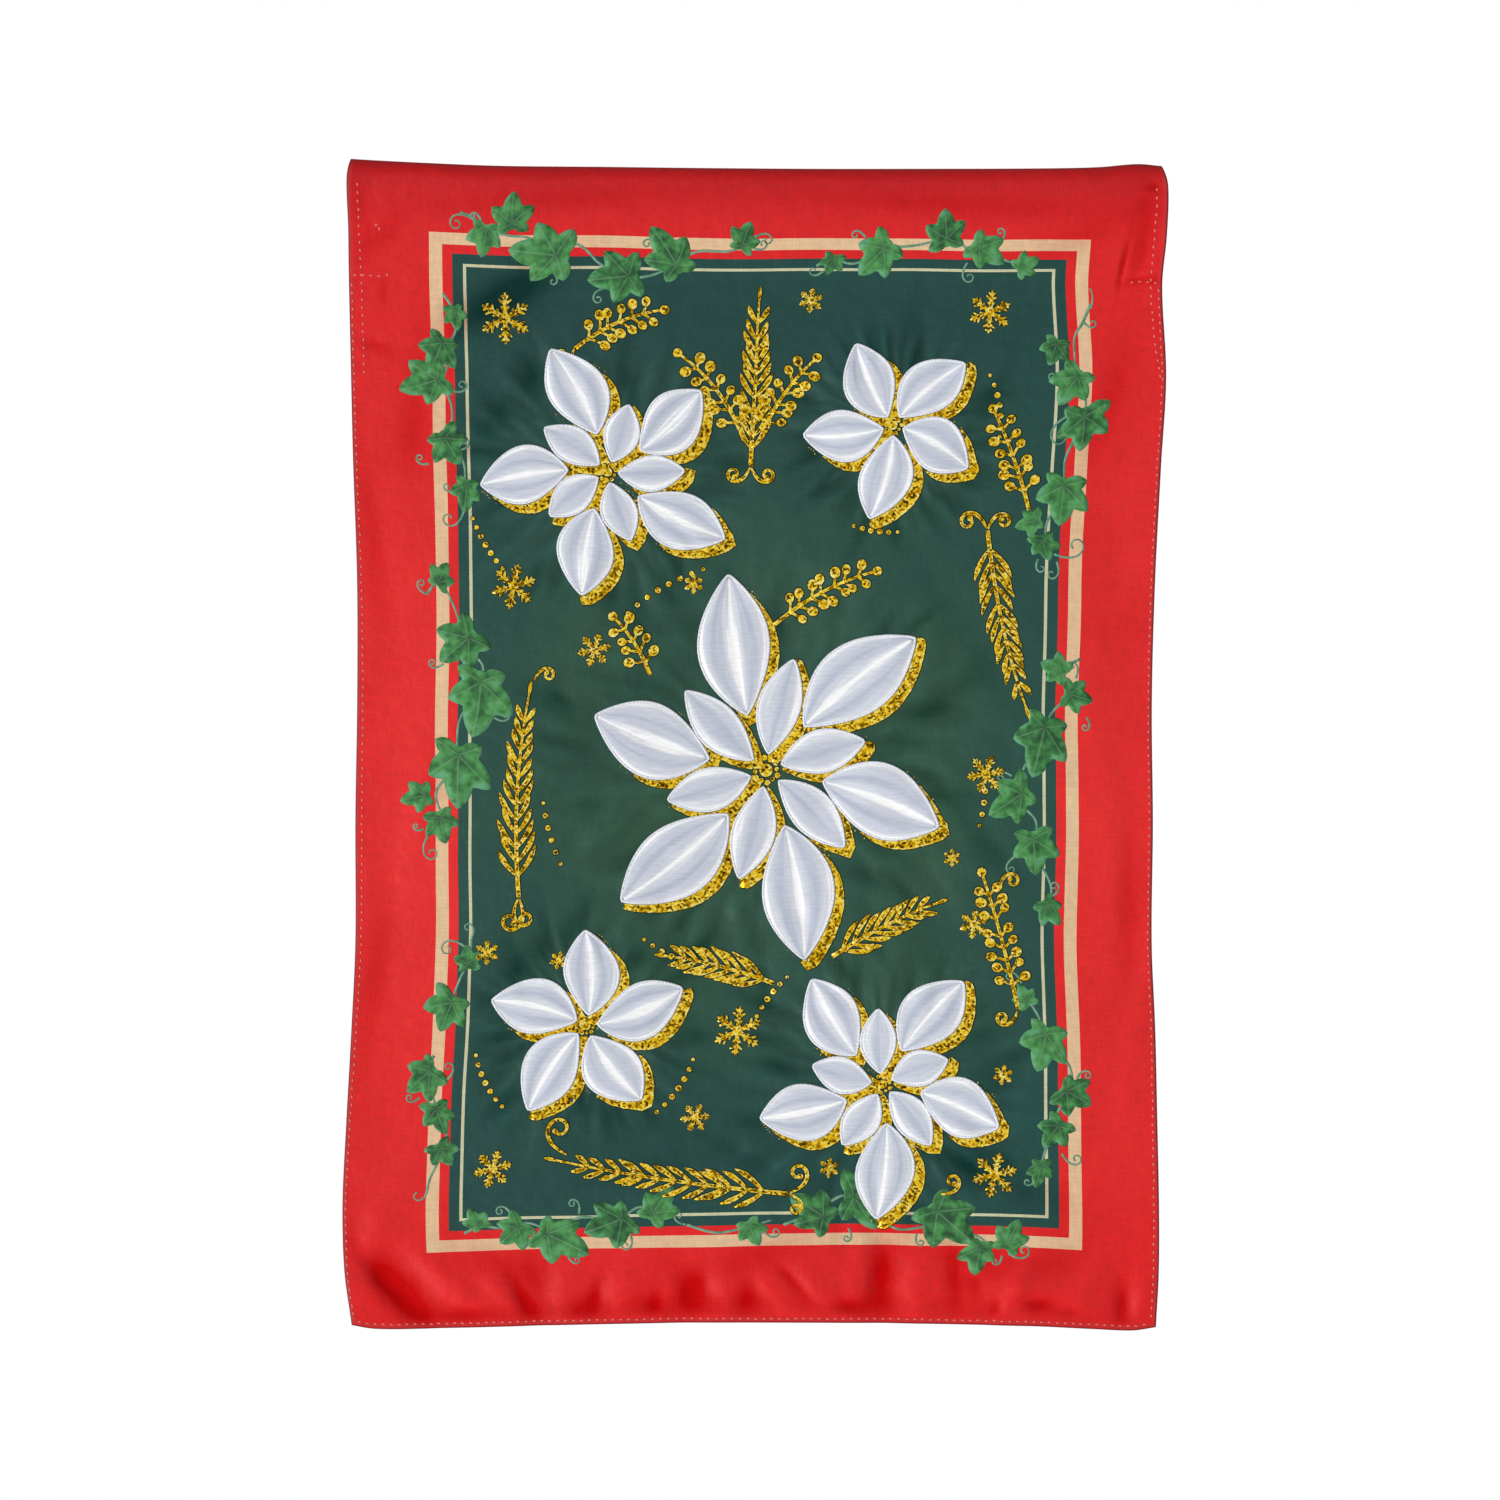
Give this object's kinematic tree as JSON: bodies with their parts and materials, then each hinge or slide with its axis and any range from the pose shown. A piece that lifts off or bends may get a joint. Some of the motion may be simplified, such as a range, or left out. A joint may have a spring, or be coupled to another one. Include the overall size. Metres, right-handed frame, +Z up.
{
  "type": "applique house flag",
  "caption": "Hanging banner of doubled cloth with a printed frame and leaf border, raised satin flower appliques and an open sleeve across its top for a pole.",
  "frame": {"origin": "the point at mid width on the inner face of the sleeve's top fold, where a pole carries the flag", "axes": "+Z up along the hanging cloth, +X across it to the viewer's right, +Y away from its face, so the face looks towards -Y"},
  "size_m": [0.7179, 0.0284, 1.0196],
  "materials": {
    "banner_cloth": "printed polyester cloth with a soft satin face: red ground, dark green field, cream frame lines and green leaves",
    "satin_applique": "white satin, padded and edge stitched",
    "leaf_print": "matt dye print of green leaves",
    "gold_glitter": "gold glitter print",
    "sewing_thread": "polyester thread"
  },
  "bodies": {
    "root": {"centre_bloom_inner_1": "satin_applique", "centre_bloom_inner_2": "satin_applique", "centre_bloom_inner_3": "satin_applique", "centre_bloom_inner_4": "satin_applique", "centre_bloom_inner_5": "satin_applique", "centre_bloom_inner_6": "satin_applique", "centre_bloom_outer_1": "satin_applique", "centre_bloom_outer_2": "satin_applique", "centre_bloom_outer_3": "satin_applique", "centre_bloom_outer_4": "satin_applique", "centre_bloom_outer_5": "satin_applique", "centre_bloom_outer_6": "satin_applique", "flag_panel": "banner_cloth", "foot_bloom_single_1": "satin_applique", "foot_bloom_single_2": "satin_applique", "foot_bloom_single_3": "satin_applique", "foot_bloom_single_4": "satin_applique", "foot_bloom_single_5": "satin_applique", "lower_bloom_inner_1": "satin_applique", "lower_bloom_inner_2": "satin_applique", "lower_bloom_inner_3": "satin_applique", "lower_bloom_inner_4": "satin_applique", "lower_bloom_inner_5": "satin_applique", "lower_bloom_outer_1": "satin_applique", "lower_bloom_outer_2": "satin_applique", "lower_bloom_outer_3": "satin_applique", "lower_bloom_outer_4": "satin_applique", "lower_bloom_outer_5": "satin_applique", "pole_sleeve": "banner_cloth", "top_bloom_single_1": "satin_applique", "top_bloom_single_2": "satin_applique", "top_bloom_single_3": "satin_applique", "top_bloom_single_4": "satin_applique", "top_bloom_single_5": "satin_applique", "upper_bloom_inner_1": "satin_applique", "upper_bloom_inner_2": "satin_applique", "upper_bloom_inner_3": "satin_applique", "upper_bloom_inner_4": "satin_applique", "upper_bloom_inner_5": "satin_applique", "upper_bloom_outer_1": "satin_applique", "upper_bloom_outer_2": "satin_applique", "upper_bloom_outer_3": "satin_applique", "upper_bloom_outer_4": "satin_applique", "upper_bloom_outer_5": "satin_applique"}
  },
  "joints": []
}
